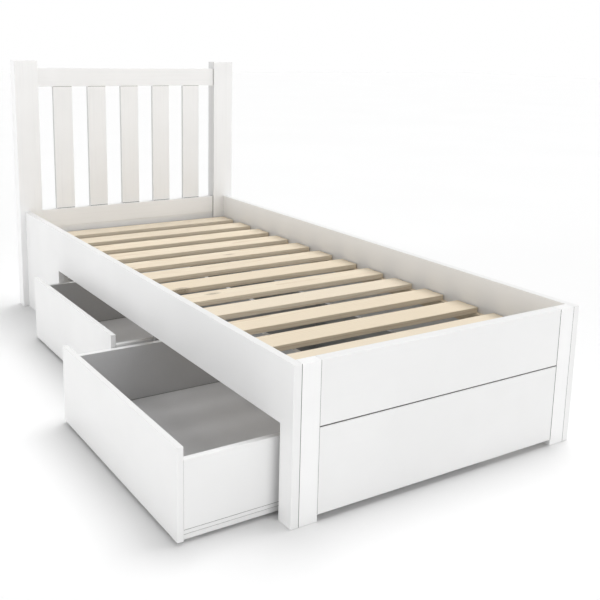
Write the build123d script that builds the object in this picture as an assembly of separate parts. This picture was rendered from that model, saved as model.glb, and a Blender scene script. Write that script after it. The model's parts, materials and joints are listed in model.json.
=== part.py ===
from build123d import *
import os

# Single bed frame with a slatted headboard and two drawers that roll out of its left side.
# All sizes are in millimetres. While the bed is drawn, X is 0 on the outer face of the left side panel,
# Y is 0 on the front face of the foot end and Z is 0 on the floor. save() moves every piece so that the
# origin is at the middle of the bottom of the whole bed, with its drawers as they are stored.

# ---- driving sizes: mattress and overall
MATTRESS_WIDTH = 900.0
MATTRESS_LENGTH = 2000.0
MATTRESS_PLAY = 10.0
SIDE_HEIGHT = 405.0
POST_HEIGHT = 1023.0

# ---- driving sizes: boards of the sides and the foot end
SIDE_THICKNESS = 22.0
FOOT_THICKNESS = 30.0
FOOT_LEG_WIDTH = 53.0
SEAM_HEIGHT = 240.5
SEAM_GAP = 3.0
PANEL_LIFT = 18.0
RIGHT_FOOT_LENGTH = 54.4
BOARD = 16.0
EDGE = 1.0

# ---- driving sizes: headboard
POST_WIDTH = 94.0
POST_DEPTH = 57.0
POST_OVERHANG = 22.0
RAIL_THICKNESS = 30.0
RAIL_HEIGHT = 75.0
RAIL_SETBACK = 10.0
TOP_RAIL_DROP = 30.0
HEAD_SLATS = 5
HEAD_SLAT_WIDTH = 80.0
HEAD_SLAT_THICKNESS = 16.0
HEAD_SLAT_SETBACK = 10.0
TENON_LENGTH = 30.0
TENON_THICKNESS = 14.0
TENON_SHOULDER = 8.0
SLAT_TENON = 15.0
MORTISE_ROOM = 1.0

# ---- driving sizes: slatted base
SUPPORT_THICKNESS = 16.0
SUPPORT_HEIGHT = 40.0
SUPPORT_END_GAP = 2.0
SUPPORT_LIFT = 4.0
BED_SLATS = 13
BED_SLAT_WIDTH = 90.0
BED_SLAT_THICKNESS = 18.0
BED_SLAT_END_GAP = 5.0
FIRST_SLAT_GAP = 15.0

# ---- driving sizes: drawer opening and bays
OPENING_HEIGHT = 246.0
OPENING_FOOT_LEG = 54.4
OPENING_HEAD_BLANK = 408.2
DRAWERS = 2
CLOSED_GAP = 0.5

# ---- driving sizes: drawers
DRAWER_DEPTH = 640.0
FRONT_SIDE_GAP = 2.0
FRONT_TOP_GAP = 8.5
FRONT_FLOOR_GAP = 7.5
WALL_INSET = 2.0
WALL_DROP = 33.0
HOUSING_DEPTH = 6.0
BACK_SETBACK = 8.0
BOTTOM_THICKNESS = 12.0
BOTTOM_INSET = 2.0
FRONT_SHADOW_GAP = 1.5
SKID_WIDTH = 30.0
SKID_INSET = 3.5
SKID_LIFT = 0.5
FOOT_DRAWER_OPEN = 254.0
HEAD_DRAWER_OPEN = 98.5

# ---- driving sizes: drawer wheels
WHEEL_RADIUS = 10.0
WHEEL_WIDTH = 13.0
WHEEL_SETBACK = 60.0
WHEEL_HOLES = 6
AXLE_RADIUS = 2.0
AXLE_CLEARANCE = 0.1
WHEEL_HOLE_SHARE = 1 / 3
WHEEL_SIDE_GAP = 0.5
WHEEL_TOP_GAP = 0.5
PLATE_THICKNESS = 1.5
PLATE_LENGTH = 56.0
CHEEK_LENGTH = 18.0
CHEEK_FLOOR_GAP = 4.0
RIVET_HEAD = 1.0
RIVET_RADIUS = 3.0

# ---- driving sizes: brackets, screws and dowels. A BITE is how far a screw goes into its last board: a
# share of the board's thickness, or a length where it goes into an edge. A SEAT or a SHARE is a place
# along a bracket's leg, a board or a gap, from 0 to 1.
BRACKET_THICKNESS = 3.0
BRACKET_HEIGHT = 50.0
BRACKET_SIDE_LEG = 22.0
BRACKET_END_LEG = 40.0
BRACKET_DROP = 26.0
ANGLE_THICKNESS = 2.0
ANGLE_LEG = 30.0
SCREW_RADIUS = 2.0
SCREW_HEAD_RADIUS = 4.0
SCREW_HEAD = 2.4
SMALL_SCREW_RADIUS = 1.5
SMALL_HEAD_RADIUS = 3.0
SCREW_BITE = 0.75
EDGE_BITE = 24.0
SLAT_SCREW_BITE = 13.0
SUPPORT_SCREW_SHARE = 0.25
SIDE_LEG_SEAT = 0.6
END_LEG_SEAT = 0.7
PAIR_SHARES = (0.25, 0.75)
WALL_SCREW_SHARES = (0.1, 0.37, 0.63, 0.9)
BACK_SCREW_SHARES = (0.25, 0.5, 0.75)
DOWEL_RADIUS = 4.0
DOWEL_LENGTH = 36.0
DOWEL_SHALLOW = 12.0
DOWEL_MARGIN = 40.0
CORNER_DOWEL_SHARES = (0.12, 0.38, 0.85)

# ---- sizes that follow from them
INNER_WIDTH = MATTRESS_WIDTH + MATTRESS_PLAY
INNER_LENGTH = MATTRESS_LENGTH + MATTRESS_PLAY
LEFT_IN = SIDE_THICKNESS
RIGHT_IN = LEFT_IN + INNER_WIDTH
RIGHT_OUT = RIGHT_IN + SIDE_THICKNESS
FOOT_BACK = FOOT_THICKNESS
HEAD_FRONT = FOOT_BACK + INNER_LENGTH
HEAD_BACK = HEAD_FRONT + POST_DEPTH
POST_LEFT_IN = POST_WIDTH - POST_OVERHANG
POST_RIGHT_IN = RIGHT_OUT - POST_LEFT_IN

RAIL_FRONT = HEAD_FRONT + RAIL_SETBACK
RAIL_MIDDLE = RAIL_FRONT + RAIL_THICKNESS / 2
TOP_RAIL_TOP = POST_HEIGHT - TOP_RAIL_DROP
BOTTOM_RAIL_BOTTOM = SIDE_HEIGHT - RAIL_HEIGHT

OPENING_START = OPENING_FOOT_LEG
OPENING_END = HEAD_FRONT - OPENING_HEAD_BLANK
BAY_PITCH = (OPENING_END - OPENING_START - BOARD) / DRAWERS
FRONT_LENGTH = BAY_PITCH - BOARD - 2 * FRONT_SIDE_GAP
BAY_BACK = DRAWER_DEPTH + CLOSED_GAP
SUPPORT_BOTTOM = OPENING_HEIGHT + SUPPORT_LIFT
DECK = SUPPORT_BOTTOM + SUPPORT_HEIGHT
SUPPORT_IN = LEFT_IN + SUPPORT_THICKNESS

FRONT_TOP = OPENING_HEIGHT - FRONT_TOP_GAP
WALL_TOP = FRONT_TOP - WALL_DROP
BOTTOM_UNDERSIDE = 2 * WHEEL_RADIUS + WHEEL_TOP_GAP + PLATE_THICKNESS
BOTTOM_TOP = BOTTOM_UNDERSIDE + BOTTOM_THICKNESS
SKID_BOTTOM = FRONT_FLOOR_GAP + SKID_LIFT

BOX_LEFT = min(-POST_OVERHANG, -FOOT_DRAWER_OPEN, -HEAD_DRAWER_OPEN)
BOX_RIGHT = RIGHT_OUT + POST_OVERHANG
ORIGIN = Vector((BOX_LEFT + BOX_RIGHT) / 2, HEAD_BACK / 2, 0)

nodes = {}


# ---- helpers
def block(x, y, z, edge=EDGE):
    """A board between three (low, high) pairs, with every edge eased."""
    pairs = (x, y, z)
    middle = Vector(*[(low + high) / 2 for low, high in pairs])
    body = Pos(middle) * Box(*[high - low for low, high in pairs])
    if edge:
        body = chamfer(body.edges(), edge)
    return body


def rod(start, direction, radius, length):
    """A round bar from a point, along a direction."""
    return extrude(Plane(origin=start, z_dir=direction) * Circle(radius), length)


def screw(seat, direction, length, radius=SCREW_RADIUS, head=SCREW_HEAD_RADIUS):
    """A pan-head screw whose head sits on a surface at seat and whose shank goes along direction."""
    way = Vector(*direction)
    shank = rod(seat, way, radius, length)
    return shank + rod(seat, way * -1, head, SCREW_HEAD)


def sunk_screw(surface, direction, length):
    """A screw whose head lies flush in the surface, length deep with its head."""
    return screw(Vector(*surface) + Vector(*direction) * SCREW_HEAD, direction, length - SCREW_HEAD)


def cut(names, tools):
    """Takes the fasteners out of the pieces that they pass through, so that both fit face to face."""
    for name in names:
        nodes[name] = nodes[name] - tools


def save(name, shape):
    """Writes one sub-part in the bed's own frame, as one flat set of solids."""
    placed = Pos(ORIGIN * -1) * shape
    export_step(Compound(placed.solids()), os.path.join("parts", name + ".step"))


# ---- headboard
def headboard():
    post_y = (HEAD_FRONT, HEAD_BACK)
    nodes["headboard_post_left"] = block((-POST_OVERHANG, POST_LEFT_IN), post_y, (0, POST_HEIGHT))
    nodes["headboard_post_right"] = block((POST_RIGHT_IN, BOX_RIGHT), post_y, (0, POST_HEIGHT))

    top = (TOP_RAIL_TOP - RAIL_HEIGHT, TOP_RAIL_TOP)
    bottom = (BOTTOM_RAIL_BOTTOM, SIDE_HEIGHT)
    rail_y = (RAIL_FRONT, RAIL_FRONT + RAIL_THICKNESS)
    tenon_y = (RAIL_MIDDLE - TENON_THICKNESS / 2, RAIL_MIDDLE + TENON_THICKNESS / 2)
    mortise = TENON_LENGTH + MORTISE_ROOM
    for name, (low, high) in (("headboard_top_rail", top), ("headboard_bottom_rail", bottom)):
        rail = block((POST_LEFT_IN, POST_RIGHT_IN), rail_y, (low, high))
        tenon_z = (low + TENON_SHOULDER, high - TENON_SHOULDER)
        rail += block((POST_LEFT_IN - TENON_LENGTH, POST_RIGHT_IN + TENON_LENGTH), tenon_y, tenon_z, 0)
        socket = block((POST_LEFT_IN - mortise, POST_RIGHT_IN + mortise), tenon_y, tenon_z, 0)
        cut(("headboard_post_left", "headboard_post_right"), socket)
        nodes[name] = rail

    front = RAIL_FRONT + HEAD_SLAT_SETBACK
    slat_y = (front, front + HEAD_SLAT_THICKNESS)
    clear = POST_RIGHT_IN - POST_LEFT_IN
    gap = (clear - HEAD_SLATS * HEAD_SLAT_WIDTH) / (HEAD_SLATS + 1)
    room = SLAT_TENON + MORTISE_ROOM
    for i in range(HEAD_SLATS):
        x = POST_LEFT_IN + gap + i * (HEAD_SLAT_WIDTH + gap)
        slat_x = (x, x + HEAD_SLAT_WIDTH)
        slat_z = (bottom[1] - SLAT_TENON, top[0] + SLAT_TENON)
        nodes[f"headboard_slat_{i + 1}"] = block(slat_x, slat_y, slat_z)
        socket = block(slat_x, slat_y, (bottom[1] - room, top[0] + room), 0)
        cut(("headboard_top_rail", "headboard_bottom_rail"), socket)

    panel_y = (RAIL_MIDDLE - BOARD / 2, RAIL_MIDDLE + BOARD / 2)
    nodes["headboard_lower_panel"] = block(
        (POST_LEFT_IN, POST_RIGHT_IN), panel_y, (PANEL_LIFT, BOTTOM_RAIL_BOTTOM))


# ---- foot end
def foot_end():
    y = (0, FOOT_THICKNESS)
    left = (LEFT_IN, LEFT_IN + FOOT_LEG_WIDTH)
    right = (RIGHT_IN - FOOT_LEG_WIDTH, RIGHT_IN)
    nodes["foot_leg_left"] = block(left, y, (0, SIDE_HEIGHT))
    nodes["foot_leg_right"] = block(right, y, (0, SIDE_HEIGHT))
    between = (left[1], right[0])
    nodes["footboard_upper_panel"] = block(between, y, (SEAM_HEIGHT + SEAM_GAP / 2, SIDE_HEIGHT))
    nodes["footboard_lower_panel"] = block(between, y, (PANEL_LIFT, SEAM_HEIGHT - SEAM_GAP / 2))


# ---- side panels
def side_panel(x, notch_y, notch_height):
    """A board as long as the side, with one notch cut up from the floor."""
    panel = block(x, (0, HEAD_FRONT), (0, SIDE_HEIGHT), 0)
    panel -= block((x[0] - EDGE, x[1] + EDGE), notch_y, (-EDGE, notch_height), 0)
    return chamfer(panel.edges(), EDGE)


def sides():
    opening = (OPENING_START, OPENING_END)
    relief = (RIGHT_FOOT_LENGTH, HEAD_FRONT - RIGHT_FOOT_LENGTH)
    nodes["side_panel_left"] = side_panel((0, LEFT_IN), opening, OPENING_HEIGHT)
    nodes["side_panel_right"] = side_panel((RIGHT_IN, RIGHT_OUT), relief, PANEL_LIFT)


# ---- slatted base
def slat_middles():
    """The Y of the middle of each bed slat, from the foot end."""
    first = FOOT_BACK + FIRST_SLAT_GAP + BED_SLAT_WIDTH / 2
    last = HEAD_FRONT - FIRST_SLAT_GAP - BED_SLAT_WIDTH / 2
    return [first + (last - first) * i / (BED_SLATS - 1) for i in range(BED_SLATS)]


def slatted_base():
    y = (FOOT_BACK + SUPPORT_END_GAP, HEAD_FRONT - SUPPORT_END_GAP)
    z = (SUPPORT_BOTTOM, DECK)
    nodes["slat_support_left"] = block((LEFT_IN, SUPPORT_IN), y, z)
    nodes["slat_support_right"] = block((RIGHT_IN - SUPPORT_THICKNESS, RIGHT_IN), y, z)
    x = (LEFT_IN + BED_SLAT_END_GAP, RIGHT_IN - BED_SLAT_END_GAP)
    for i, middle in enumerate(slat_middles()):
        slat_y = (middle - BED_SLAT_WIDTH / 2, middle + BED_SLAT_WIDTH / 2)
        nodes[f"bed_slat_{i + 1:02d}"] = block(x, slat_y, (DECK, DECK + BED_SLAT_THICKNESS))


# ---- bays that the drawers run in
def divider_names():
    return ["drawer_divider_foot", "drawer_divider_middle", "drawer_divider_head"]


def divider_low(i):
    """The Y of the foot-end face of a divider."""
    return OPENING_START + i * BAY_PITCH


def drawer_bays():
    z = (0, SUPPORT_BOTTOM)
    for i, name in enumerate(divider_names()):
        low = divider_low(i)
        nodes[name] = block((SUPPORT_IN, BAY_BACK), (low, low + BOARD), z)
    nodes["drawer_bay_back"] = block((BAY_BACK, BAY_BACK + BOARD), (OPENING_START, OPENING_END), z)


# ---- brackets, screws and dowels of the frame
def corner_bracket(side_x, inward, end_y, along):
    """An L of plate in a corner, and its screws. inward and along are the ways into the bed."""
    z = (OPENING_HEIGHT - BRACKET_DROP - BRACKET_HEIGHT, OPENING_HEIGHT - BRACKET_DROP)
    thick_x = sorted((side_x, side_x + inward * BRACKET_THICKNESS))
    thick_y = sorted((end_y, end_y + along * BRACKET_THICKNESS))
    leg_x = sorted((side_x, side_x + inward * BRACKET_END_LEG))
    leg_y = sorted((end_y, end_y + along * BRACKET_SIDE_LEG))
    plate = block(thick_x, leg_y, z, 0) + block(leg_x, thick_y, z, 0)
    screws = []
    seat_x = side_x + inward * END_LEG_SEAT * BRACKET_END_LEG
    seat_y = end_y + along * SIDE_LEG_SEAT * BRACKET_SIDE_LEG
    for share in PAIR_SHARES:
        height = z[0] + share * BRACKET_HEIGHT
        side_seat = (side_x + inward * BRACKET_THICKNESS, seat_y, height)
        end_seat = (seat_x, end_y + along * BRACKET_THICKNESS, height)
        screws.append(screw(side_seat, (-inward, 0, 0), SCREW_BITE * SIDE_THICKNESS))
        screws.append(screw(end_seat, (0, -along, 0), SCREW_BITE * FOOT_THICKNESS))
    return plate, screws


def divider_bracket(i):
    """A small angle that ties a divider's top to the slat support beside it, and its screws."""
    low = divider_low(i)
    y = (low, low + BOARD)
    middle = low + BOARD / 2
    thick_x = (SUPPORT_IN, SUPPORT_IN + ANGLE_THICKNESS)
    thick_z = (SUPPORT_BOTTOM, SUPPORT_BOTTOM + ANGLE_THICKNESS)
    leg_x = (SUPPORT_IN, SUPPORT_IN + ANGLE_LEG)
    leg_z = (SUPPORT_BOTTOM, SUPPORT_BOTTOM + ANGLE_LEG)
    plate = block(leg_x, y, thick_z, 0) + block(thick_x, y, leg_z, 0)
    down_seat = (SUPPORT_IN + END_LEG_SEAT * ANGLE_LEG, middle, thick_z[1])
    side_seat = (thick_x[1], middle, SUPPORT_BOTTOM + SIDE_LEG_SEAT * ANGLE_LEG)
    screws = [
        screw(down_seat, (0, 0, -1), EDGE_BITE),
        screw(side_seat, (-1, 0, 0), SCREW_BITE * SUPPORT_THICKNESS),
    ]
    return plate, screws


def bracket_joints():
    """The corner brackets and the divider angles, and their screws."""
    brackets = []
    screws = []
    for side_x, inward in ((LEFT_IN, 1), (RIGHT_IN, -1)):
        for end_y, along in ((FOOT_BACK, 1), (HEAD_FRONT, -1)):
            plate, its_screws = corner_bracket(side_x, inward, end_y, along)
            brackets.append(plate - its_screws)
            screws += its_screws
    for i in range(DRAWERS + 1):
        angle, its_screws = divider_bracket(i)
        brackets.append(angle - its_screws)
        screws += its_screws
    corner_wood = ("side_panel_left", "side_panel_right", "foot_leg_left", "foot_leg_right",
                   "headboard_post_left", "headboard_post_right", "slat_support_left")
    cut((*corner_wood, *divider_names()), screws)
    nodes["steel_brackets"] = Compound(children=brackets)
    return screws


def support_screws():
    """The screws that hold the slat supports to the side panels."""
    screws = []
    bays = [divider_low(i) + BOARD / 2 for i in range(DRAWERS + 1)]
    spots = [a + (b - a) * share for a, b in zip(bays, bays[1:]) for share in PAIR_SHARES]
    spots.append((bays[-1] + HEAD_FRONT) / 2)
    height = SUPPORT_BOTTOM + SUPPORT_SCREW_SHARE * SUPPORT_HEIGHT
    length = SUPPORT_THICKNESS + SCREW_BITE * SIDE_THICKNESS
    for y in spots:
        screws.append(screw((SUPPORT_IN, y, height), (-1, 0, 0), length))
        screws.append(screw((RIGHT_IN - SUPPORT_THICKNESS, y, height), (1, 0, 0), length))
    cut(("side_panel_left", "side_panel_right", "slat_support_left", "slat_support_right"), screws)
    return screws


def bay_screws():
    """The screws that hold the bays' back board to the dividers."""
    screws = []
    for i in range(DRAWERS + 1):
        for share in PAIR_SHARES:
            seat = (BAY_BACK + BOARD, divider_low(i) + BOARD / 2, share * SUPPORT_BOTTOM)
            screws.append(screw(seat, (-1, 0, 0), BOARD + EDGE_BITE))
    cut((*divider_names(), "drawer_bay_back"), screws)
    return screws


def slat_screws():
    """The sunk screws at both ends of each bed slat."""
    screws = []
    top = DECK + BED_SLAT_THICKNESS
    length = BED_SLAT_THICKNESS + SLAT_SCREW_BITE
    lines = (LEFT_IN + SUPPORT_THICKNESS / 2, RIGHT_IN - SUPPORT_THICKNESS / 2)
    for i, y in enumerate(slat_middles()):
        ends = [sunk_screw((x, y, top), (0, 0, -1), length) for x in lines]
        cut((f"bed_slat_{i + 1:02d}",), ends)
        screws += ends
    cut(("slat_support_left", "slat_support_right"), screws)
    return screws


def frame_screws():
    screws = bracket_joints() + support_screws() + bay_screws() + slat_screws()
    nodes["frame_screws"] = Compound(children=screws)


def dowels():
    pins = []
    deep = DOWEL_LENGTH / 2
    mid_foot = FOOT_THICKNESS / 2
    panels = (
        (PANEL_LIFT, SEAM_HEIGHT - SEAM_GAP / 2),
        (SEAM_HEIGHT + SEAM_GAP / 2, SIDE_HEIGHT),
    )
    for low, high in panels:
        for z in (low + DOWEL_MARGIN, high - DOWEL_MARGIN):
            for x in (LEFT_IN + FOOT_LEG_WIDTH, RIGHT_IN - FOOT_LEG_WIDTH):
                pins.append(rod((x - deep, mid_foot, z), (1, 0, 0), DOWEL_RADIUS, DOWEL_LENGTH))
    for share in CORNER_DOWEL_SHARES:
        z = share * SIDE_HEIGHT
        for x, way in ((LEFT_IN - DOWEL_SHALLOW, 1), (RIGHT_IN + DOWEL_SHALLOW, -1)):
            pins.append(rod((x, mid_foot, z), (way, 0, 0), DOWEL_RADIUS, DOWEL_LENGTH))
        for x in (LEFT_IN - SIDE_THICKNESS / 2, RIGHT_IN + SIDE_THICKNESS / 2):
            pins.append(rod((x, HEAD_FRONT - deep, z), (0, 1, 0), DOWEL_RADIUS, DOWEL_LENGTH))
    for z in (PANEL_LIFT + DOWEL_MARGIN, BOTTOM_RAIL_BOTTOM - DOWEL_MARGIN):
        for x in (POST_LEFT_IN, POST_RIGHT_IN):
            pins.append(rod((x - deep, RAIL_MIDDLE, z), (1, 0, 0), DOWEL_RADIUS, DOWEL_LENGTH))
    cut(("foot_leg_left", "foot_leg_right", "footboard_upper_panel", "footboard_lower_panel",
         "side_panel_left", "side_panel_right", "headboard_post_left", "headboard_post_right",
         "headboard_lower_panel"), pins)
    nodes["frame_dowels"] = Compound(children=pins)


# ---- drawers
def wheel(middle):
    """A small nylon wheel on an axle along Y, with lightening holes round its hub."""
    half = WHEEL_WIDTH / 2
    body = extrude(Plane.XZ * Circle(WHEEL_RADIUS), half, both=True)
    body = fillet(body.edges(), EDGE)
    body -= extrude(Plane.XZ * Circle(AXLE_RADIUS + AXLE_CLEARANCE), WHEEL_WIDTH, both=True)
    hole_ring = (AXLE_RADIUS + WHEEL_RADIUS) / 2
    hole_radius = WHEEL_HOLE_SHARE * (WHEEL_RADIUS - AXLE_RADIUS) / 2
    hole = rod((hole_ring, -WHEEL_WIDTH, 0), (0, 1, 0), hole_radius, 2 * WHEEL_WIDTH)
    body -= [Rot(0, i * 360 / WHEEL_HOLES, 0) * hole for i in range(WHEEL_HOLES)]
    return Pos(middle) * body


def wheel_housing(middle):
    """A folded plate over one wheel, screwed under the drawer, with its axle pin and screws."""
    plate_z = (BOTTOM_UNDERSIDE - PLATE_THICKNESS, BOTTOM_UNDERSIDE)
    inner = WHEEL_WIDTH / 2 + WHEEL_SIDE_GAP
    outer = inner + PLATE_THICKNESS
    x, y = middle.X, middle.Y
    folded = block((x - PLATE_LENGTH / 2, x + PLATE_LENGTH / 2), (y - outer, y + outer), plate_z, 0)
    cheek_x = (x - CHEEK_LENGTH / 2, x + CHEEK_LENGTH / 2)
    for side in (-1, 1):
        cheek_y = sorted((y + side * inner, y + side * outer))
        folded += block(cheek_x, cheek_y, (CHEEK_FLOOR_GAP, plate_z[0]), 0)
    pin = rod((x, y - outer - RIVET_HEAD, middle.Z), (0, 1, 0), AXLE_RADIUS, 2 * (outer + RIVET_HEAD))
    folded -= pin
    for side in (-1, 1):
        start = (x, y + side * outer, middle.Z)
        pin += rod(start, (0, side, 0), RIVET_RADIUS, RIVET_HEAD)
    screws = []
    length = SCREW_BITE * BOTTOM_THICKNESS
    for side in (-1, 1):
        seat = (x + side * (PLATE_LENGTH + CHEEK_LENGTH) / 4, y, plate_z[0])
        screws.append(screw(seat, (0, 0, 1), length, SMALL_SCREW_RADIUS, SMALL_HEAD_RADIUS))
    return folded - screws, pin, screws


def drawer(prefix, bay, open_by):
    """One drawer in its bay, drawn shut and then moved out to where it is stored."""
    y0 = divider_low(bay) + BOARD + FRONT_SIDE_GAP
    y1 = y0 + FRONT_LENGTH
    wall_out = (y0 + WALL_INSET, y1 - WALL_INSET)
    wall_in = (wall_out[0] + BOARD, wall_out[1] - BOARD)
    wall_x = (BOARD - HOUSING_DEPTH, DRAWER_DEPTH)
    wall_z = (BOTTOM_TOP, WALL_TOP)
    part = {}
    part["front"] = block((0, BOARD), (y0, y1), (FRONT_FLOOR_GAP, FRONT_TOP))
    part["wall_foot"] = block(wall_x, (wall_out[0], wall_in[0]), wall_z)
    part["wall_head"] = block(wall_x, (wall_in[1], wall_out[1]), wall_z)
    part["front"] -= [part["wall_foot"], part["wall_head"]]
    back_y = (wall_in[0] - HOUSING_DEPTH, wall_in[1] + HOUSING_DEPTH)
    back_x = (DRAWER_DEPTH - BACK_SETBACK - BOARD, DRAWER_DEPTH - BACK_SETBACK)
    part["back"] = block(back_x, back_y, wall_z)
    part["wall_foot"] -= part["back"]
    part["wall_head"] -= part["back"]

    under_x = (BOARD + FRONT_SHADOW_GAP, DRAWER_DEPTH)
    bottom_y = (wall_out[0] + BOTTOM_INSET, wall_out[1] - BOTTOM_INSET)
    part["bottom"] = block(under_x, bottom_y, (BOTTOM_UNDERSIDE, BOTTOM_TOP))
    skid_z = (SKID_BOTTOM, BOTTOM_UNDERSIDE)
    skid_low = wall_out[0] + SKID_INSET
    skid_high = wall_out[1] - SKID_INSET
    skids = [
        block(under_x, (skid_low, skid_low + SKID_WIDTH), skid_z),
        block(under_x, (skid_high - SKID_WIDTH, skid_high), skid_z),
    ]

    screws = []
    length = BOTTOM_TOP - SKID_BOTTOM + EDGE_BITE
    for y in (wall_out[0] + BOARD / 2, wall_out[1] - BOARD / 2):
        for share in WALL_SCREW_SHARES:
            x = BOARD + share * (DRAWER_DEPTH - BOARD)
            screws.append(sunk_screw((x, y, SKID_BOTTOM), (0, 0, 1), length))
    length = BOTTOM_THICKNESS + EDGE_BITE
    for share in BACK_SCREW_SHARES:
        seat = ((back_x[0] + back_x[1]) / 2, y0 + share * FRONT_LENGTH, BOTTOM_UNDERSIDE)
        screws.append(sunk_screw(seat, (0, 0, 1), length))

    housings = []
    pins = []
    wheels = {"front_wheels": [], "rear_wheels": []}
    inboard = SKID_WIDTH + WHEEL_WIDTH
    stations = (("front_wheels", BOARD + WHEEL_SETBACK), ("rear_wheels", DRAWER_DEPTH - WHEEL_SETBACK))
    for name, x in stations:
        for y in (skid_low + inboard, skid_high - inboard):
            middle = Vector(x, y, WHEEL_RADIUS)
            housing, pin, its_screws = wheel_housing(middle)
            housings.append(housing)
            pins.append(pin)
            screws += its_screws
            wheels[name].append(wheel(middle))

    for name in ("bottom", "back", "wall_foot", "wall_head"):
        part[name] -= screws
    part["skids"] = Compound(children=[skid - screws for skid in skids])
    part["wheel_housings"] = Compound(children=housings)
    part["axle_pins"] = Compound(children=pins)
    part["screws"] = Compound(children=screws)
    for name, pair in wheels.items():
        part[name] = Compound(children=pair)
    for name, shape in part.items():
        nodes[f"{prefix}_{name}"] = Pos(-open_by, 0, 0) * shape


# ---- build everything and write it
headboard()
foot_end()
sides()
slatted_base()
drawer_bays()
frame_screws()
dowels()
drawer("foot_drawer", 0, FOOT_DRAWER_OPEN)
drawer("head_drawer", 1, HEAD_DRAWER_OPEN)

os.makedirs("parts", exist_ok=True)
for node_name, node_shape in nodes.items():
    save(node_name, node_shape)
print(len(nodes), "sub-parts, origin at", tuple(ORIGIN))
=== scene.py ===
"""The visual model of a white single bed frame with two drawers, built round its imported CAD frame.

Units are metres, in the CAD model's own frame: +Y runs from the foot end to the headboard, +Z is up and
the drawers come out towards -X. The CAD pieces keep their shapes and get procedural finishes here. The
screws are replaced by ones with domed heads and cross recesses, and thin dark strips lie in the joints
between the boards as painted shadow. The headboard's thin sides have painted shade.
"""
import json
import math

import bmesh
import bpy
from mathutils import Matrix, Vector


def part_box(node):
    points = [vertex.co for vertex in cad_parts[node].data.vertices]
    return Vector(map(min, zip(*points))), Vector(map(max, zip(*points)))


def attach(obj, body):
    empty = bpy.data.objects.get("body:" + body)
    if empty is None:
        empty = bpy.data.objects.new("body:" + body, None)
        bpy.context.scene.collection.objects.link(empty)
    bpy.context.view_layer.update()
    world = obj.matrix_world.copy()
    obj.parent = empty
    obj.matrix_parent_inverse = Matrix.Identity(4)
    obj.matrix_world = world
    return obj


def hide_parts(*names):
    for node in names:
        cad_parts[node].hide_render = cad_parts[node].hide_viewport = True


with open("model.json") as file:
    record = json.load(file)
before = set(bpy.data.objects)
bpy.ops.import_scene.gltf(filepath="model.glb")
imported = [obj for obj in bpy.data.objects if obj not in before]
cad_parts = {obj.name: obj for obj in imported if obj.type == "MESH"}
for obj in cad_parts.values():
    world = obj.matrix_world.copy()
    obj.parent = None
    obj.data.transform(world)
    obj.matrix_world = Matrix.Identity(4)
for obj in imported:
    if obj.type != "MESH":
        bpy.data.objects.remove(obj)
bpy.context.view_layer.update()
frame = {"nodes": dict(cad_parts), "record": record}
NODES = frame["nodes"]
RECORD = frame["record"]

MM = 0.001
X_AXIS, Y_AXIS, Z_AXIS = 0, 1, 2
WAYS = {"left": (-1, 0, 0), "right": (1, 0, 0), "front": (0, -1, 0), "back": (0, 1, 0), "up": (0, 0, 1)}

# ---- colours
WHITE = (0.88, 0.88, 0.877)
WHITE_WOOD = (0.94, 0.94, 0.939)
LINING = (0.60, 0.60, 0.605)
BAY_GREY = (0.36, 0.36, 0.36)
PINE_LIGHT = (0.87, 0.78, 0.63)
PINE_DARK = (0.69, 0.54, 0.37)
BEECH_LIGHT = (0.72, 0.50, 0.31)
BEECH_DARK = (0.50, 0.30, 0.16)
ZINC_SHEET = (0.66, 0.67, 0.68)
ZINC_STEEL = (0.62, 0.62, 0.62)
NYLON = (0.82, 0.81, 0.76)
# Painted shadow: the near-black colour of the strips in the joints, mottled with a dustier tone.
PAINTED_JOINT_SHADOW = (0.045, 0.045, 0.045)
PAINTED_JOINT_SHADOW_DUST = (0.13, 0.128, 0.12)
FLOOR_LIGHT = (0.93, 0.93, 0.93)
FLOOR_DARK = (0.92, 0.92, 0.92)
# Painted shade: how much darker the headboard's thin sides are than its faces.
PAINTED_SIDE_SHADE = 0.74

# ---- grain: how much of it shows through the lacquer, how wide a year's ring is, and the level that
# each board's pith is a few centimetres below
BOARD_GRAIN = 0.22
WOOD_GRAIN = 0.50
PINE_RING = 5.5 * MM
BEECH_RING = 2.2 * MM
PITH_LEVEL = 0.31

# ---- screws: the dome, and the recess's reach and width, are shares of the head's radius, the recess's
# depth is a share of the dome's height, and the point is a share of the shank's radius
HEAD_DEPTH = 2.4 * MM
HEAD_SPOTS = 15
DOME_SHARE = 0.28
RECESS_REACH = 0.62
RECESS_WIDTH = 0.13
RECESS_DEPTH = 1.364
POINT_SHARE = 0.15

# ---- joint strips, which are painted shadow: how far they stand out of the surface, and stay short of the boards' ends
PROUD = 0.1 * MM
INSET = MM

# ---- camera: from the foot end's left corner, a little above the headboard
CAMERA_AT = Vector((-1.383, -2.584, 1.100))
CAMERA_YAW = 32.6
CAMERA_PITCH = -11.75
CAMERA_ROLL = 1.15
CAMERA_LENS = 52.5
CAMERA_SENSOR = 36.0
CAMERA_SHIFT = (0.03, -0.12)
CAMERA_CLIP = (0.05, 100.0)

# ---- light: name, the way that it comes from, how soft it is in degrees, strength
LIGHTS = (
    ("key_left", (-1.0, 0.02, 0.06), 12.0, 0.75),
    ("fill_front", (0.10, -1.0, 0.10), 20.0, 0.60),
    ("overhead", (0.34, 0.12, 1.0), 44.0, 2.05),
)
# The sky is white up to the band, in sines of elevation, and fades to its zenith across it.
HORIZON_STRENGTH = 1.0
ZENITH_STRENGTH = 0.38
HORIZON_BAND = (0.21, 0.37)
FLOOR_SIZE = 60.0
FLOOR_DROP = 0.2 * MM


def shade(color, tone):
    """A colour times one factor, or times one for each channel."""
    tones = tone if isinstance(tone, tuple) else (tone, tone, tone)
    return tuple(channel * factor for channel, factor in zip(color, tones))


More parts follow.
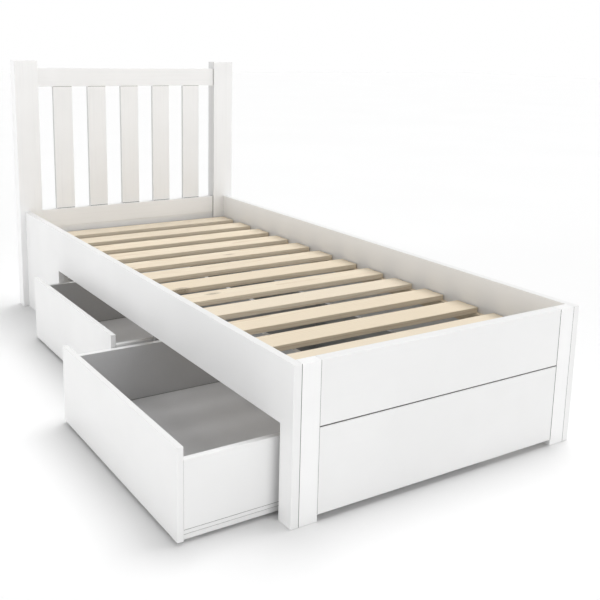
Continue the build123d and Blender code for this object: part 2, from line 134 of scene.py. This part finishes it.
# ---- finishes
class Finish:
    """A principled material, and short calls that add nodes to it.

    Textures follow the object's coordinates, which are metres, so their scales are features per metre.
    """

    def __init__(self, name, color, roughness, metallic=0.0, coat=0.0, coat_roughness=0.2):
        self.material = bpy.data.materials.new(name)
        self.material.use_nodes = True
        self.tree = self.material.node_tree
        self.shader = self.tree.nodes["Principled BSDF"]
        self.set("Base Color", (*color, 1.0))
        self.set("Roughness", roughness)
        self.set("Metallic", metallic)
        self.set("Coat Weight", coat)
        self.set("Coat Roughness", coat_roughness)
        self.coords = self.node("ShaderNodeTexCoord").outputs["Object"]

    def set(self, socket, value):
        """Sets a constant on the shader, or links a node's output to it."""
        self.fill(self.shader.inputs[socket], value)

    def fill(self, socket, value):
        """Gives any node's input a constant or another node's output."""
        if isinstance(value, bpy.types.NodeSocket):
            self.tree.links.new(value, socket)
        else:
            socket.default_value = value

    def node(self, kind, inputs=(), **settings):
        """Adds a node. inputs is (socket, value) pairs; a value may be another node's output."""
        node = self.tree.nodes.new(kind)
        for key, value in settings.items():
            setattr(node, key, value)
        for key, value in inputs:
            self.fill(node.inputs[key], value)
        return node

    def math(self, operation, a, b=0.0):
        return self.node("ShaderNodeMath", ((0, a), (1, b)), operation=operation).outputs[0]

    def total(self, *values):
        """The sum of several values."""
        added = values[0]
        for value in values[1:]:
            added = self.math("ADD", added, value)
        return added

    def stretch(self, axis, along, across):
        """Coordinates scaled by along on one axis and by across on the other two."""
        scale = [across] * 3
        scale[axis] = along
        return self.node("ShaderNodeMapping", (("Vector", self.coords), ("Scale", scale))).outputs[0]

    def noise(self, vector, scale, detail=2.0, roughness=0.5, distortion=0.0):
        pairs = (("Vector", vector), ("Scale", scale), ("Detail", detail), ("Roughness", roughness),
                 ("Distortion", distortion))
        return self.node("ShaderNodeTexNoise", pairs).outputs["Fac"]

    def cells(self, vector, scale):
        """The outputs of a texture of small cells: the distance to each cell's middle and its colour."""
        return self.node("ShaderNodeTexVoronoi", (("Vector", vector), ("Scale", scale))).outputs

    def span(self, value, low, high, to_low, to_high):
        """Maps a value from one range to another, clamped."""
        pairs = (("Value", value), ("From Min", low), ("From Max", high),
                 ("To Min", to_low), ("To Max", to_high))
        return self.node("ShaderNodeMapRange", pairs).outputs["Result"]

    def mix(self, amount, a, b):
        """Mixes two colours."""
        node = self.node("ShaderNodeMix", ((0, amount),), data_type="RGBA")
        for socket, value in ((node.inputs[6], a), (node.inputs[7], b)):
            self.fill(socket, value if isinstance(value, bpy.types.NodeSocket) else (*value, 1.0))
        return node.outputs[2]

    def bump(self, *layers):
        """Stacks (height, distance in metres) layers of bump on the shader's normal."""
        normal = None
        for height, distance in layers:
            pairs = [("Height", height), ("Distance", distance), ("Strength", 1.0)]
            if normal is not None:
                pairs.append(("Normal", normal))
            normal = self.node("ShaderNodeBump", pairs).outputs[0]
        self.set("Normal", normal)

    def edges(self, radius):
        """1 on edges and 0 on flats, for the wear along a board's edges."""
        rounded = self.node("ShaderNodeBevel", (("Radius", radius),), samples=4).outputs[0]
        flat = self.node("ShaderNodeNewGeometry").outputs["Normal"]
        dot = self.node("ShaderNodeVectorMath", ((0, rounded), (1, flat)), operation="DOT_PRODUCT")
        return self.span(dot.outputs["Value"], 0.99, 0.80, 0.0, 1.0)

    def facing(self, way):
        """1 on the faces that look one way in the object's own frame, 0 on the rest."""
        normal = self.node("ShaderNodeTexCoord").outputs["Normal"]
        dot = self.node("ShaderNodeVectorMath", ((0, normal), (1, way)), operation="DOT_PRODUCT")
        return self.span(dot.outputs["Value"], 0.80, 0.95, 0.0, 1.0)

    def lining(self):
        """The colour of grey melamine: fine dark specks in a slow cloud."""
        speck = self.span(self.cells(self.coords, 700.0)["Distance"], 0.05, 0.45, 0.45, 0.0)
        cloud = self.span(self.noise(self.coords, 6.0, 3.0, 0.6), 0.35, 0.65, 0.0, 1.0)
        return self.mix(speck, self.mix(cloud, LINING, shade(LINING, 0.95)), shade(LINING, 0.72))


def lacquer(name, axis, ways, color, grain, roughness, lined=False):
    """White satin lacquer: faint clouding, orange peel, and the board's grain showing by so much.

    The faces that look one of the ways have a grey lining if the board is lined, or else painted shade:
    a darker tone of the lacquer where shade falls.
    """
    it = Finish(name, color, roughness, coat=0.12, coat_roughness=0.25)
    cloud = it.noise(it.coords, 3.1, 3.0, 0.55)
    fibres = it.noise(it.stretch(axis, 2.5, 95.0), 1.0, 5.0, 0.62, 0.15)
    pores = it.noise(it.stretch(axis, 22.0, 900.0), 1.0, 2.0, 0.5)
    peel = it.noise(it.coords, 420.0, 2.0, 0.5)
    worn = it.edges(1.6 * MM)
    base = it.mix(it.span(cloud, 0.35, 0.65, 0.0, 1.0), color, shade(color, 0.965))
    fibre_color = shade(color, 1.0 - 0.16 * grain)
    base = it.mix(it.span(fibres, 0.50, 0.68, 0.0, 0.85 * grain), base, fibre_color)
    base = it.mix(it.math("MULTIPLY", worn, 0.55), base, shade(color, (0.90, 0.89, 0.87)))
    # Lined faces get the grey lining; on other boards these faces get painted shade, a darker tone of the
    # lacquer.
    for way in ways:
        base = it.mix(it.facing(way), base, it.lining() if lined else shade(color, PAINTED_SIDE_SHADE))
    it.set("Base Color", base)
    sheen = it.span(cloud, 0.3, 0.7, roughness - 0.04, roughness + 0.05)
    smudge = it.span(it.noise(it.coords, 11.0, 4.0, 0.6), 0.45, 0.75, 0.0, 0.07)
    it.set("Roughness", it.total(sheen, smudge, it.math("MULTIPLY", worn, 0.10)))
    it.bump((peel, 0.05 * MM), (fibres, 0.22 * MM * grain), (pores, 0.10 * MM * grain))
    return it.material


def ring_distance(it, axis, boards, number, chance):
    """How far a point is from its board's pith, a line below the board that wanders along it."""
    place = it.node("ShaderNodeSeparateXYZ", ((0, it.coords),)).outputs
    across, up = [i for i in range(3) if i != axis]
    lay, pitch, start = boards
    if lay == across:
        steps = it.math("ADD", number, chance)
        middle = it.math("ADD", start, it.math("MULTIPLY", steps, pitch))
        side = it.math("SUBTRACT", place[across], middle)
    else:
        side = it.math("ADD", place[across], it.math("MULTIPLY", chance, 0.05))
    depth = it.math("ADD", it.math("MULTIPLY", chance, 0.06), 0.02)
    rise = it.math("ADD", it.math("SUBTRACT", place[up], PITH_LEVEL), depth)
    square = it.math("ADD", it.math("MULTIPLY", side, side), it.math("MULTIPLY", rise, rise))
    drift = it.noise(it.stretch(axis, 1.1, 5.0), 1.0, 2.0, 0.5)
    wobble = it.noise(it.stretch(axis, 6.0, 30.0), 1.0, 3.0, 0.5)
    return it.total(
        it.math("SQRT", square), it.math("MULTIPLY", drift, 0.045), it.math("MULTIPLY", wobble, 0.004))


def raw_wood(name, axis, light, dark, boards, ring, knots):
    """Planed softwood or beech: rings round a pith below each board, fibres, and knots.

    boards is (axis that they are laid along, pitch, start): each board on that axis gets its own tone.
    """
    it = Finish(name, light, 0.62)
    lay, pitch, start = boards
    laid = it.node("ShaderNodeSeparateXYZ", ((0, it.coords),)).outputs[lay]
    number = it.math("FLOOR", it.math("DIVIDE", it.math("SUBTRACT", laid, start), pitch))
    white_noise = it.node("ShaderNodeTexWhiteNoise", (("W", number),), noise_dimensions="1D")
    chance = white_noise.outputs["Value"]
    distance = ring_distance(it, axis, boards, number, chance)
    # Late wood is the dark outer part of each ring.
    late = it.span(it.math("FRACT", it.math("DIVIDE", distance, ring)), 0.35, 0.97, 0.0, 1.0)
    late = it.math("MULTIPLY", late, late)
    fibres = it.noise(it.stretch(axis, 9.0, 620.0), 1.0, 4.0, 0.6)
    base = it.mix(it.span(chance, 0.0, 1.0, 0.0, 0.35), light, shade(light, (0.93, 0.86, 0.74)))
    base = it.mix(it.math("MULTIPLY", late, 0.62), base, dark)
    base = it.mix(it.span(fibres, 0.40, 0.75, 0.0, 0.28), base, dark)
    if knots:
        near = it.cells(it.stretch(axis, 3.2, 9.0), 1.0)["Distance"]
        rings = it.span(it.math("FRACT", it.math("MULTIPLY", near, 42.0)), 0.0, 1.0, 0.45, 0.95)
        knot = it.span(near, 0.13, 0.07, 0.0, 0.8)
        base = it.mix(it.math("MULTIPLY", knot, rings), base, shade(dark, 0.45))
    it.set("Base Color", base)
    it.set("Roughness", it.span(late, 0.0, 1.0, 0.66, 0.50))
    it.bump((late, 0.06 * MM), (fibres, 0.12 * MM))
    return it.material


def foil_board(name, axis, color, roughness, speck):
    """Foil-covered board round the drawers' bay, with a fine pressed texture."""
    it = Finish(name, color, roughness)
    cloud = it.noise(it.coords, 5.0, 3.0, 0.6)
    press = it.noise(it.stretch(axis, 90.0, 360.0), 1.0, 3.0, 0.6)
    dot = it.span(it.cells(it.coords, 900.0)["Distance"], 0.0, 0.35, 1.0, 0.0)
    base = it.mix(it.span(cloud, 0.3, 0.7, 0.0, 1.0), color, shade(color, 0.93))
    base = it.mix(it.math("MULTIPLY", dot, speck), base, shade(color, 0.72))
    base = it.mix(it.math("MULTIPLY", it.edges(1.4 * MM), 0.45), base, shade(color, 0.86))
    it.set("Base Color", base)
    it.set("Roughness", it.span(press, 0.3, 0.7, roughness - 0.05, roughness + 0.08))
    it.bump((press, 0.05 * MM), (cloud, 0.20 * MM))
    return it.material


def zinc(name, color, roughness, spangle):
    """Zinc-plated steel with fine scratches and, on sheet, the crystals of the plating."""
    it = Finish(name, color, roughness, metallic=1.0)
    crystals = it.cells(it.coords, 260.0)["Color"]
    patch = it.node("ShaderNodeSeparateColor", ((0, crystals),)).outputs[0]
    scratch = it.noise(it.stretch(Z_AXIS, 1500.0, 60.0), 1.0, 3.0, 0.6)
    stain = it.noise(it.coords, 60.0, 4.0, 0.6)
    dull = shade(color, (0.80, 0.79, 0.76))
    base = it.mix(it.span(patch, 0.0, 1.0, 0.0, spangle), color, dull)
    it.set("Base Color", it.mix(it.span(stain, 0.52, 0.72, 0.0, 0.5), base, dull))
    rough = it.span(scratch, 0.3, 0.7, roughness - 0.07, roughness + 0.10)
    it.set("Roughness", it.math("ADD", rough, it.math("MULTIPLY", patch, 0.08 * spangle)))
    it.bump((scratch, 0.012 * MM), (stain, 0.03 * MM))
    return it.material


def nylon(name, color):
    """Natural nylon: milky, slightly waxy, scuffed round the rim."""
    it = Finish(name, color, 0.42)
    it.set("Subsurface Weight", 0.12)
    it.set("Subsurface Radius", (0.002, 0.0018, 0.0014))
    scuff = it.noise(it.coords, 700.0, 4.0, 0.65)
    flow = it.noise(it.coords, 90.0, 2.0, 0.5)
    it.set("Base Color", it.mix(it.span(scuff, 0.52, 0.70, 0.0, 0.5), color, shade(color, 0.80)))
    it.set("Roughness", it.span(scuff, 0.3, 0.7, 0.36, 0.56))
    it.bump((flow, 0.04 * MM), (scuff, 0.02 * MM))
    return it.material


def painted_joint_shadow_finish(name):
    """Painted shadow with dust: a near-black colour for the bottom of a joint, which stands for the joint's
    shade.
    """
    it = Finish(name, PAINTED_JOINT_SHADOW, 0.85)
    dust = it.noise(it.coords, 160.0, 4.0, 0.6)
    it.set("Base Color", it.mix(it.span(dust, 0.35, 0.7, 0.0, 1.0), PAINTED_JOINT_SHADOW, PAINTED_JOINT_SHADOW_DUST))
    it.bump((dust, 0.05 * MM))
    return it.material


def pale_floor(name):
    """A plain pale floor, a little cloudy."""
    it = Finish(name, FLOOR_LIGHT, 0.85)
    cloud = it.noise(it.coords, 0.7, 2.0, 0.5)
    it.set("Base Color", it.mix(it.span(cloud, 0.3, 0.7, 0.0, 1.0), FLOOR_LIGHT, FLOOR_DARK))
    return it.material


# ---- which finish each CAD piece gets
LACQUERS = {
    "white_board": {"color": WHITE, "grain": BOARD_GRAIN, "roughness": 0.36},
    "lacquered_wood": {"color": WHITE_WOOD, "grain": WOOD_GRAIN, "roughness": 0.38},
    "drawer_board": {"color": WHITE, "grain": BOARD_GRAIN, "roughness": 0.38, "lined": True},
    "drawer_base": {"color": WHITE, "grain": BOARD_GRAIN, "roughness": 0.42, "lined": True},
}
# The faces of some boards that are greyer: the drawers' insides, which have a grey lining, and the
# headboard's thin sides, which have painted shade.
LINED_OR_PAINTED_SHADE_FACES = {
    "drawer_front": ("right",),
    "drawer_back": ("left",),
    "drawer_wall_foot": ("back",),
    "drawer_wall_head": ("front",),
    "drawer_bottom": ("up",),
    # The headboard's inner sides have painted shade.
    "headboard_post_left": ("right",),
    "headboard_post_right": ("left",),
    "headboard_slat": ("left", "right"),
}
# A drawer's two skids together are longest across the bed, but their grain runs along each skid.
ALONG_X = ("foot_drawer_skids", "head_drawer_skids")


def bed_slat_boards():
    """The axis that the bed slats are laid along, their pitch, and the middle of the gap before them."""
    low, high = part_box("bed_slat_01")
    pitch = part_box("bed_slat_02")[0].y - low.y
    return Y_AXIS, pitch, low.y - (pitch - (high.y - low.y)) / 2


SLAT_BOARDS = bed_slat_boards()
# Pieces that aren't laid side by side take their tone from the half metre across the bed that they are in.
LONE_BOARDS = (X_AXIS, 0.5, -1.0)


def make_finish(slot, name, axis, ways):
    """A new material for one of the record's slots."""
    if slot in LACQUERS:
        return lacquer(name, axis, ways, **LACQUERS[slot])
    if slot == "pine":
        boards = SLAT_BOARDS if axis == X_AXIS else LONE_BOARDS
        return raw_wood(name, axis, PINE_LIGHT, PINE_DARK, boards, PINE_RING, knots=True)
    if slot == "beech":
        return raw_wood(name, axis, BEECH_LIGHT, BEECH_DARK, LONE_BOARDS, BEECH_RING, knots=False)
    if slot == "bay_board":
        return foil_board(name, axis, BAY_GREY, 0.50, 0.10)
    if slot == "zinc_plate":
        return zinc(name, ZINC_SHEET, 0.38, 0.8)
    if slot == "zinc_steel":
        return zinc(name, ZINC_STEEL, 0.32, 0.2)
    if slot == "nylon":
        return nylon(name, NYLON)
    raise KeyError(f"no finish for the slot {slot}")


made_finishes = {}


def finish(slot, axis, faces=()):
    """The material for a slot with its grain along an axis and greyer faces, of grey lining or painted
    shade, made once.
    """
    name = "_".join((slot, "xyz"[axis], *faces))
    if name not in made_finishes:
        made_finishes[name] = make_finish(slot, name, axis, [WAYS[face] for face in faces])
    return made_finishes[name]


def faces_lined_or_painted_shade(node):
    """Which faces of a node are greyer, with grey lining or painted shade, by the end of its name, less any
    number.
    """
    board = node.rstrip("_0123456789")
    return next((faces for kind, faces in LINED_OR_PAINTED_SHADE_FACES.items() if board.endswith(kind)), ())


def grain_axis(node):
    """The axis that a node's grain runs along: its longest side's."""
    if node in ALONG_X:
        return X_AXIS
    low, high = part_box(node)
    size = high - low
    return max(range(3), key=lambda i: size[i])


def finish_nodes():
    """Gives every CAD node the finish of its material slot."""
    for row in RECORD["subparts"]:
        node = row["node"]
        materials = NODES[node].data.materials
        materials.clear()
        materials.append(finish(row["material_slot"], grain_axis(node), faces_lined_or_painted_shade(node)))


# ---- screws with domed heads and cross recesses
def point_groups(node):
    """The points of each separate solid in a CAD node."""
    mesh = bmesh.new()
    mesh.from_mesh(NODES[node].data)
    bmesh.ops.remove_doubles(mesh, verts=mesh.verts, dist=0.001 * MM)
    seen = set()
    groups = []
    for first in mesh.verts:
        if first in seen:
            continue
        group = []
        queue = [first]
        seen.add(first)
        while queue:
            vert = queue.pop()
            group.append(vert.co.copy())
            for edge in vert.link_edges:
                other = edge.other_vert(vert)
                if other not in seen:
                    seen.add(other)
                    queue.append(other)
        groups.append(group)
    mesh.free()
    return groups


def screw_from(points):
    """A screw's place, way in, length, head radius and shank radius, from its solid's points."""
    low = Vector(min(point[i] for point in points) for i in range(3))
    high = Vector(max(point[i] for point in points) for i in range(3))
    size = high - low
    axis = max(range(3), key=lambda i: size[i])
    side, other_side = [i for i in range(3) if i != axis]
    middle = (low + high) / 2

    def reach(level):
        """The radius of the screw at one of its ends."""
        ring = [point - middle for point in points if abs(point[axis] - level) < 0.01 * MM]
        return max(math.hypot(point[side], point[other_side]) for point in ring)

    low_radius, high_radius = reach(low[axis]), reach(high[axis])
    head_is_high = high_radius > low_radius
    top = middle.copy()
    top[axis] = high[axis] if head_is_high else low[axis]
    way = Vector((0, 0, 0))
    way[axis] = -1.0 if head_is_high else 1.0
    return top, way, size[axis], max(low_radius, high_radius), min(low_radius, high_radius)


def cross_level(x, y, radius, dome):
    """How high the head's surface is at a point, from its rim up: a dome with a cross sunk into it."""
    out = math.hypot(x, y) / radius
    height = dome * (1.0 - out * out)
    along = max(abs(x), abs(y))
    aside = min(abs(x), abs(y))
    if aside < RECESS_WIDTH * radius and along < RECESS_REACH * radius:
        height -= RECESS_DEPTH * dome * (1.0 - 0.5 * along / (RECESS_REACH * radius))
    return height


def add_screw(mesh, top, way, length, head, shank):
    """One screw: a fine grid for its head's face, a straight rim and a shank with a drilled point."""
    place = Matrix.Translation(top) @ way.to_track_quat("Z", "Y").to_matrix().to_4x4()
    dome = DOME_SHARE * head
    last = HEAD_SPOTS - 1
    steps = [-1.0 + 2.0 * i / last for i in range(HEAD_SPOTS)]
    grid = {}
    flat = {}
    for i, u in enumerate(steps):
        for j, v in enumerate(steps):
            x = head * u * math.sqrt(1.0 - v * v / 2.0)
            y = head * v * math.sqrt(1.0 - u * u / 2.0)
            depth = dome - cross_level(x, y, head, dome)
            flat[i, j] = (x, y)
            grid[i, j] = mesh.verts.new(place @ Vector((x, y, depth)))
    for i in range(last):
        for j in range(last):
            mesh.faces.new((grid[i, j], grid[i, j + 1], grid[i + 1, j + 1], grid[i + 1, j]))
    rim = [(i, 0) for i in range(last)] + [(last, j) for j in range(last)]
    rim += [(i, last) for i in range(last, 0, -1)] + [(0, j) for j in range(last, 0, -1)]
    angles = [math.atan2(flat[spot][1], flat[spot][0]) for spot in rim]
    profile = (
        (head, HEAD_DEPTH), (shank, HEAD_DEPTH), (shank, length - 2.0 * shank),
        (POINT_SHARE * shank, length))
    previous = [grid[spot] for spot in rim]
    for radius, depth in profile:
        ring = []
        for angle in angles:
            point = Vector((radius * math.cos(angle), radius * math.sin(angle), depth))
            ring.append(mesh.verts.new(place @ point))
        for k in range(len(ring)):
            after = (k + 1) % len(ring)
            mesh.faces.new((previous[k], previous[after], ring[after], ring[k]))
        previous = ring
    mesh.faces.new(previous)


def add_piece(name, mesh, material, body):
    """A new object from a bmesh, which is freed, riding on a CAD body."""
    bmesh.ops.recalc_face_normals(mesh, faces=mesh.faces)
    data = bpy.data.meshes.new(name)
    mesh.to_mesh(data)
    mesh.free()
    data.materials.append(material)
    piece = bpy.data.objects.new(name, data)
    bpy.context.scene.collection.objects.link(piece)
    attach(piece, body)
    return piece


def better_screws(node, body):
    """Replaces a CAD node of plain screws by screws with cross recesses, in the same places."""
    mesh = bmesh.new()
    for points in point_groups(node):
        add_screw(mesh, *screw_from(points))
    piece = add_piece(node + "_crossed", mesh, finish("zinc_steel", X_AXIS), body)
    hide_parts(node)


# ---- painted shadow: the dark lines in the joints between boards
def painted_shadow_strip(name, body, corner, run, open_way, half_width, sunk=-PROUD):
    """A three-sided dark strip that lies in the groove or corner between two boards of one body, as painted
    shadow.

    corner is the joint's one end on the boards' surface, run the vector along it, open_way the way that
    it opens, half_width the strip's half width and sunk how far its face is below the surface.
    """
    along = Vector(run)
    out = Vector(open_way)
    aside = along.cross(out).normalized() * half_width
    face = Vector(corner) - out * sunk
    section = (face - aside, face + aside, face - out * half_width)
    mesh = bmesh.new()
    verts = [mesh.verts.new(point) for point in (*section, *(point + along for point in section))]
    for corners in ((0, 2, 1), (3, 4, 5), (0, 1, 4, 3), (1, 2, 5, 4), (2, 0, 3, 5)):
        mesh.faces.new([verts[k] for k in corners])
    # The strip is painted shadow: a dark piece put where the groove's shade falls.
    add_piece(name, mesh, JOINT_SHADOW_PAINT, body)


def foot_end_lines():
    """The painted shadow lines between the foot end's legs, its two panels and the bed's sides."""
    left_low, left_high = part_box("foot_leg_left")
    right_low, right_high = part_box("foot_leg_right")
    panel_low, panel_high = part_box("footboard_lower_panel")
    upper_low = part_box("footboard_upper_panel")[0]
    top = left_high.z - INSET
    # Each painted shadow strip lies in the groove between two 1 mm chamfers, and a deeper one is a finer
    # line.
    for name, x, bottom, half_width, sunk in (
        ("joint_left_side", left_low.x, INSET, 0.72 * MM, 0.28 * MM),
        ("joint_left_panel", left_high.x, panel_low.z, 0.40 * MM, 0.60 * MM),
        ("joint_right_panel", right_low.x, panel_low.z, 1.00 * MM, 0.02 * MM),
        ("joint_right_side", right_high.x, INSET, 0.60 * MM, 0.40 * MM),
    ):
        corner = (x, left_low.y, bottom)
        painted_shadow_strip(name, "bed_frame", corner, (0, 0, top - bottom), WAYS["front"], half_width, sunk)
    corner = (panel_low.x, panel_low.y, (upper_low.z + panel_high.z) / 2)
    run = (panel_high.x - panel_low.x, 0, 0)
    half_gap = (upper_low.z - panel_high.z) / 2
    painted_shadow_strip("joint_seam", "bed_frame", corner, run, WAYS["front"], half_gap, 1.4 * MM)


def headboard_lines():
    """The painted shadow lines where the head slats meet the rails and the rails meet the posts."""
    slat_line = 0.9 * MM
    post_line = 0.6 * MM
    top_low, top_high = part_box("headboard_top_rail")
    bottom_low, bottom_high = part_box("headboard_bottom_rail")
    for node in sorted(node for node in NODES if node.startswith("headboard_slat_")):
        slat = node.removeprefix("headboard_")
        low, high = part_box(node)
        run = (high.x - low.x - 2 * INSET, 0, 0)
        for end, level in (("top", top_low.z - slat_line), ("bottom", bottom_high.z + slat_line)):
            corner = (low.x + INSET, low.y, level)
            painted_shadow_strip(f"joint_{slat}_{end}", "bed_frame", corner, run, WAYS["front"], slat_line)
    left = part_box("headboard_post_left")[1].x + 0.7 * MM
    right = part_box("headboard_post_right")[0].x - 0.7 * MM
    for rail, low, high in (("top", top_low, top_high), ("bottom", bottom_low, bottom_high)):
        run = (0, 0, high.z - low.z - 2 * INSET)
        for side, x in (("left", left), ("right", right)):
            corner = (x, low.y, low.z + INSET)
            painted_shadow_strip(f"joint_{rail}_rail_{side}", "bed_frame", corner, run, WAYS["front"], post_line)


def drawer_lines(drawer):
    """The painted shadow lines of a drawer's walls: along the bottom board in and out, along the skid, down
    the front.
    """
    bold, middling, fine = 0.8 * MM, 0.6 * MM, 0.4 * MM
    front_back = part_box(drawer + "_front")[1].x
    back_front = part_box(drawer + "_back")[0].x
    base_low, base_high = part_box(drawer + "_bottom")
    skids_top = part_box(drawer + "_skids")[1].z
    start = base_low.x + INSET
    run = (base_high.x - base_low.x - 2 * INSET, 0, 0)
    across = (back_front - front_back, 0, 0)
    for side, outer, out, inward in (("foot", 0, (0, -1, 0), (0, 1, 0)), ("head", 1, (0, 1, 0), (0, -1, 0))):
        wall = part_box(f"{drawer}_wall_{side}")
        base_y = (base_low, base_high)[outer].y
        skid_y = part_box(drawer + "_skids")[outer].y
        up = (0, 0, wall[1].z - wall[0].z - 2 * INSET)
        inside = (front_back, wall[1 - outer].y, wall[0].z + middling)
        under_wall = (start, base_y, base_high.z - bold)
        over_skid = (start, skid_y, skids_top - middling)
        by_front = (front_back + fine, wall[outer].y, wall[0].z + INSET)
        painted_shadow_strip(f"{drawer}_line_inside_{side}", drawer, inside, across, inward, middling)
        painted_shadow_strip(f"{drawer}_line_wall_{side}", drawer, under_wall, run, out, bold)
        painted_shadow_strip(f"{drawer}_line_skid_{side}", drawer, over_skid, run, out, fine)
        painted_shadow_strip(f"{drawer}_line_front_{side}", drawer, by_front, up, out, fine)


# ---- floor, light and camera
def stage():
    """The floor, a hair below the wheels and legs."""
    half = FLOOR_SIZE / 2
    corners = [(x, y, -FLOOR_DROP) for x, y in ((-half, -half), (half, -half), (half, half), (-half, half))]
    data = bpy.data.meshes.new("floor")
    data.from_pydata(corners, [], [(0, 1, 2, 3)])
    data.materials.append(pale_floor("pale_floor"))
    floor = bpy.data.objects.new("floor", data)
    bpy.context.scene.collection.objects.link(floor)


def sky():
    """A white horizon that lights the boards' faces, under a greyer zenith."""
    world = bpy.data.worlds.new("studio")
    world.use_nodes = True
    tree = world.node_tree
    direction = tree.nodes.new("ShaderNodeTexCoord").outputs["Generated"]
    parts = tree.nodes.new("ShaderNodeSeparateXYZ")
    fade = tree.nodes.new("ShaderNodeMapRange")
    fade.inputs["From Min"].default_value, fade.inputs["From Max"].default_value = HORIZON_BAND
    fade.inputs["To Min"].default_value = HORIZON_STRENGTH
    fade.inputs["To Max"].default_value = ZENITH_STRENGTH
    background = tree.nodes["Background"]
    background.inputs["Color"].default_value = (1.0, 1.0, 1.0, 1.0)
    tree.links.new(direction, parts.inputs[0])
    tree.links.new(parts.outputs["Z"], fade.inputs["Value"])
    tree.links.new(fade.outputs["Result"], background.inputs["Strength"])
    bpy.context.scene.world = world


def lights():
    """Three soft suns, which light near and far parts alike."""
    for name, way, softness, strength in LIGHTS:
        data = bpy.data.lights.new(name, "SUN")
        data.angle = math.radians(softness)
        data.energy = strength
        light = bpy.data.objects.new(name, data)
        light.rotation_euler = Vector(way).to_track_quat("Z", "Y").to_euler()
        bpy.context.scene.collection.objects.link(light)


def camera():
    """Looks at the bed: yaw is to the right of +Y, pitch is up, and roll is anticlockwise."""
    yaw, pitch, roll = (math.radians(angle) for angle in (CAMERA_YAW, CAMERA_PITCH, CAMERA_ROLL))
    flat_right = Vector((math.cos(yaw), -math.sin(yaw), 0.0))
    flat_ahead = Vector((math.sin(yaw), math.cos(yaw), 0.0))
    ahead = flat_ahead * math.cos(pitch) + Vector((0.0, 0.0, math.sin(pitch)))
    flat_up = flat_right.cross(ahead)
    right = flat_right * math.cos(roll) + flat_up * math.sin(roll)
    up = flat_up * math.cos(roll) - flat_right * math.sin(roll)
    data = bpy.data.cameras.new("camera")
    data.sensor_width = CAMERA_SENSOR
    data.lens = CAMERA_LENS
    data.shift_x, data.shift_y = CAMERA_SHIFT
    data.clip_start, data.clip_end = CAMERA_CLIP
    view = bpy.data.objects.new("camera", data)
    bpy.context.scene.collection.objects.link(view)
    turn = Matrix((right, up, -ahead)).transposed().to_4x4()
    view.matrix_world = Matrix.Translation(CAMERA_AT) @ turn
    bpy.context.scene.camera = view


finish_nodes()
better_screws("frame_screws", "bed_frame")
better_screws("foot_drawer_screws", "foot_drawer")
better_screws("head_drawer_screws", "head_drawer")
# The material of the painted shadow strips in the joints.
JOINT_SHADOW_PAINT = painted_joint_shadow_finish("painted_shadow_strip")
foot_end_lines()
headboard_lines()
drawer_lines("foot_drawer")
drawer_lines("head_drawer")
stage()
sky()
lights()
camera()
bpy.context.scene.view_settings.view_transform = "Standard"
